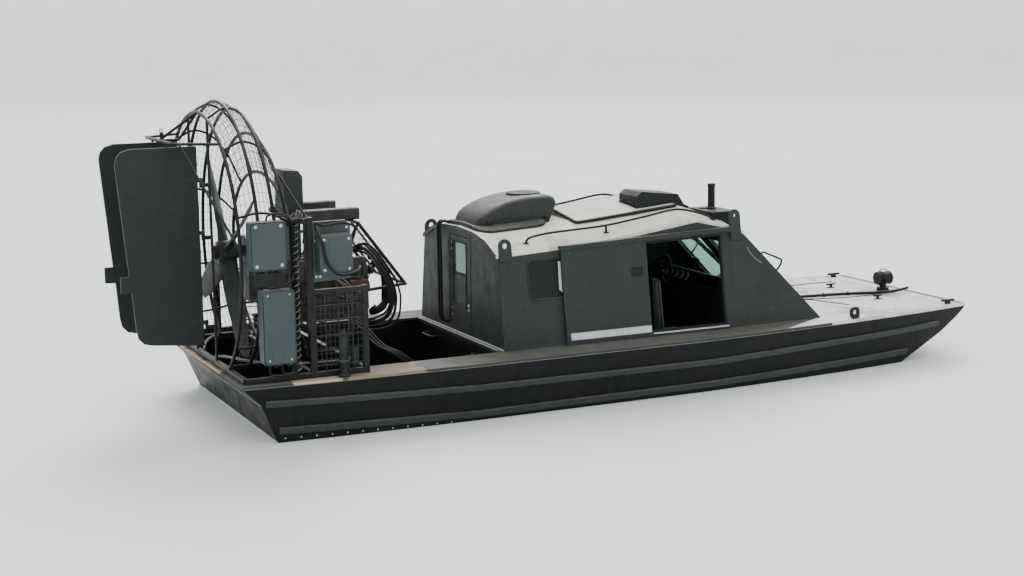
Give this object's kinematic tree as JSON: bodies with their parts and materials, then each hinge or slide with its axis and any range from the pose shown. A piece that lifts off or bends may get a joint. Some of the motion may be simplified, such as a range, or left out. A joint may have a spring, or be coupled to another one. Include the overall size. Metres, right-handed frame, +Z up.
{
  "type": "cabin airboat",
  "caption": "Flat-bottomed boat with a closed cabin, driven by an air propeller in a round cage with air rudders behind it.",
  "frame": {"origin": "on the flat hull bottom, on the centreline, halfway along the bottom", "axes": "+X to the bow, +Y to port, +Z up"},
  "size_m": [7.974, 2.6, 2.7893],
  "materials": {
    "hull": "matt paint, scuffed at the waterline",
    "strake": "matt",
    "panel": "matt",
    "roof": "matt, slightly soiled",
    "foredeck": "non-slip, soiled",
    "deck": "non-slip, worn",
    "box": "satin",
    "tube": "satin",
    "track": "brushed",
    "window": "clear, greenish",
    "rubber": "matt",
    "blade": "satin composite",
    "engine": "rough, hot-stained",
    "exhaust": "heat-dulled",
    "trim": "grained",
    "seat": "vinyl cover"
  },
  "bodies": {
    "boat": {"hull": "hull", "strake_upper_port": "strake", "strake_upper_starboard": "strake", "strake_lower_port": "strake", "strake_lower_starboard": "strake", "side_deck_port": "deck", "side_deck_starboard": "deck", "stern_deck": "deck", "foredeck": "foredeck", "bulkhead_cap": "deck", "cabin_side_port": "panel", "side_window_aft_port": "window", "side_window_quarter_port": "window", "cabin_side_starboard": "panel", "side_window_aft_starboard": "window", "side_window_quarter_starboard": "window", "door_track_port": "track", "door_track_starboard": "track", "cabin_aft_wall": "panel", "cabin_roof": "roof", "windshield_frame": "panel", "windshield_port": "window", "windshield_starboard": "window", "roof_handrail_port": "tube", "roof_handrail_starboard": "tube", "air_conditioner": "panel", "air_hose_inner": "rubber", "air_hose_outer": "rubber", "roof_hatch": "roof", "roof_case": "panel", "antenna_box": "tube", "engine_stand": "tube", "engine_block": "engine", "gearbox": "exhaust", "muffler_port": "exhaust", "muffler_starboard": "exhaust", "intake_cover": "panel", "control_box_upper": "box", "control_box_lower": "box", "control_box_forward": "box", "front_guard": "tube", "coolant_hose_upper": "rubber", "coolant_hose_lower": "rubber", "propeller_cage": "tube", "rudder_top_frame": "tube", "helm_console": "trim", "steering_wheel": "rubber", "seat_port": "seat", "seat_starboard": "seat", "searchlight": "tube", "foredeck_pole": "tube"},
    "propeller": {"propeller": "blade"},
    "rudder_starboard": {"rudder_starboard": "panel"},
    "rudder_port": {"rudder_port": "panel"},
    "sliding_door_starboard": {"sliding_door_starboard": "panel"},
    "sliding_door_port": {"sliding_door_port": "panel"},
    "aft_door": {"aft_door": "panel", "aft_door_window": "window"}
  },
  "joints": [
    {"name": "propeller_spin", "type": "hinge", "parent": "boat", "child": "propeller", "pos_m": [-3.403, 0, 1.52], "axis": [1, 0, 0], "continuous": true},
    {"name": "rudder_turn_starboard", "type": "hinge", "parent": "boat", "child": "rudder_starboard", "pos_m": [-3.672, -0.3, 1.7], "axis": [0, 0, 1], "range_deg": [-35, 35]},
    {"name": "rudder_turn_port", "type": "hinge", "parent": "boat", "child": "rudder_port", "pos_m": [-3.672, 0.3, 1.7], "axis": [0, 0, 1], "range_deg": [-35, 35]},
    {"name": "door_slide_starboard", "type": "slide", "parent": "boat", "child": "sliding_door_starboard", "axis": [1, 0, 0], "range_m": [0, 0.79]},
    {"name": "door_slide_port", "type": "slide", "parent": "boat", "child": "sliding_door_port", "axis": [-1, 0, 0], "range_m": [0, 0.79]},
    {"name": "aft_door_hinge", "type": "hinge", "parent": "boat", "child": "aft_door", "pos_m": [-1.283, 0.218, 1.1], "axis": [0, 0, -1], "range_deg": [0, 90]}
  ],
  "couplings": [
    {"joint": "rudder_turn_port", "follows": "rudder_turn_starboard", "ratio": 1}
  ]
}
